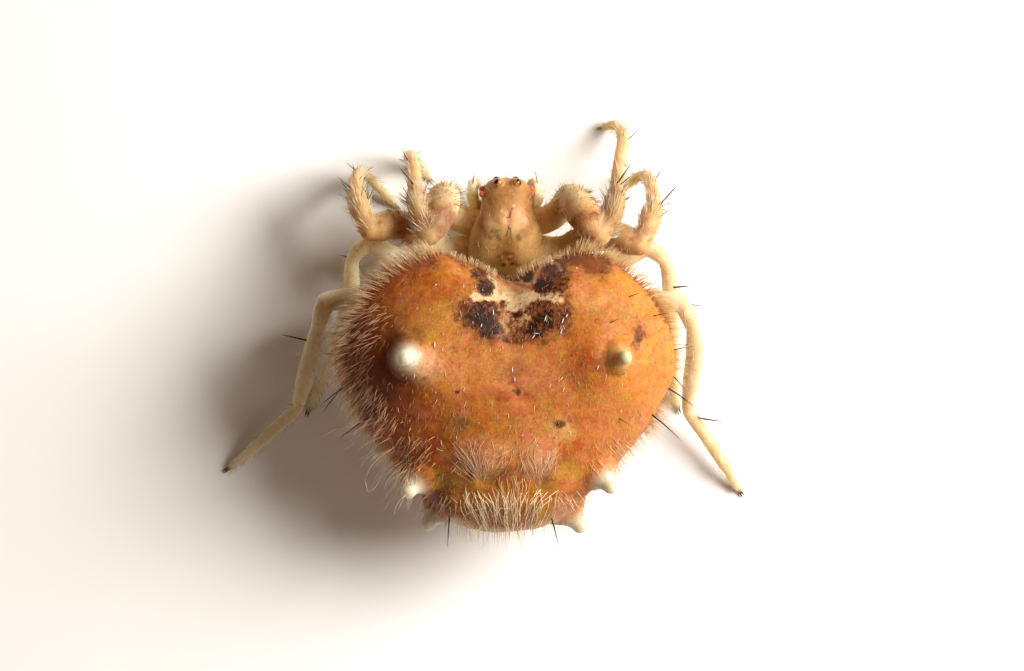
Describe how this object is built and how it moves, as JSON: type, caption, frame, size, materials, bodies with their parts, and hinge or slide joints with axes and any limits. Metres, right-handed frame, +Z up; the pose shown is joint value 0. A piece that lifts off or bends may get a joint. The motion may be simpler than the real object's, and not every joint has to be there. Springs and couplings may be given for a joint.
{
  "type": "taczanowskia sextuberculata spider",
  "caption": "Small orb-weaver family spider with a heart-shaped orange abdomen carrying pale conical tubercles, short pale bristly legs and a tan carapace, standing at life size.",
  "frame": {"origin": "on the floor under the middle of the footprint of the whole animal", "axes": "+Z up, +Y towards the head, +X towards the animal's right"},
  "size_m": [0.0092, 0.0076, 0.0041],
  "materials": {
    "abdomen_skin": "satin, finely wrinkled, orange with dark marks",
    "carapace": "satin, tan and slightly translucent",
    "tubercle": "smooth, ivory",
    "eye": "glossy, dark amber",
    "leg": "satin, straw, translucent, with short hairs"
  },
  "bodies": {
    "root": {"abdomen": "abdomen_skin", "prosoma": "carapace", "pedicel": "carapace", "spinnerets": "carapace", "tubercle_dorsal_left": "tubercle", "tubercle_dorsal_right": "tubercle", "tubercle_posterior_left": "tubercle", "tubercle_posterior_right": "tubercle", "tubercle_hind_left": "tubercle", "tubercle_hind_right": "tubercle", "eye_posterior_median_left": "eye", "eye_posterior_median_right": "eye", "eye_anterior_median_left": "eye", "eye_anterior_median_right": "eye", "eye_anterior_lateral_left": "eye", "eye_anterior_lateral_right": "eye", "eye_posterior_lateral_left": "eye", "eye_posterior_lateral_right": "eye", "chelicera_left": "carapace", "chelicera_right": "carapace", "palp_left": "leg", "palp_right": "leg", "leg_left_1_femur": "leg", "leg_left_1_tibia": "leg", "leg_left_1_foot": "leg", "leg_left_2_femur": "leg", "leg_left_2_tibia": "leg", "leg_left_2_foot": "leg", "leg_left_3_femur": "leg", "leg_left_3_tibia": "leg", "leg_left_3_foot": "leg", "leg_left_4_femur": "leg", "leg_left_4_tibia": "leg", "leg_left_4_foot": "leg", "leg_right_1_femur": "leg", "leg_right_1_tibia": "leg", "leg_right_1_foot": "leg", "leg_right_2_femur": "leg", "leg_right_2_tibia": "leg", "leg_right_2_foot": "leg", "leg_right_3_femur": "leg", "leg_right_3_tibia": "leg", "leg_right_3_foot": "leg", "leg_right_4_femur": "leg", "leg_right_4_tibia": "leg", "leg_right_4_foot": "leg"}
  },
  "joints": []
}
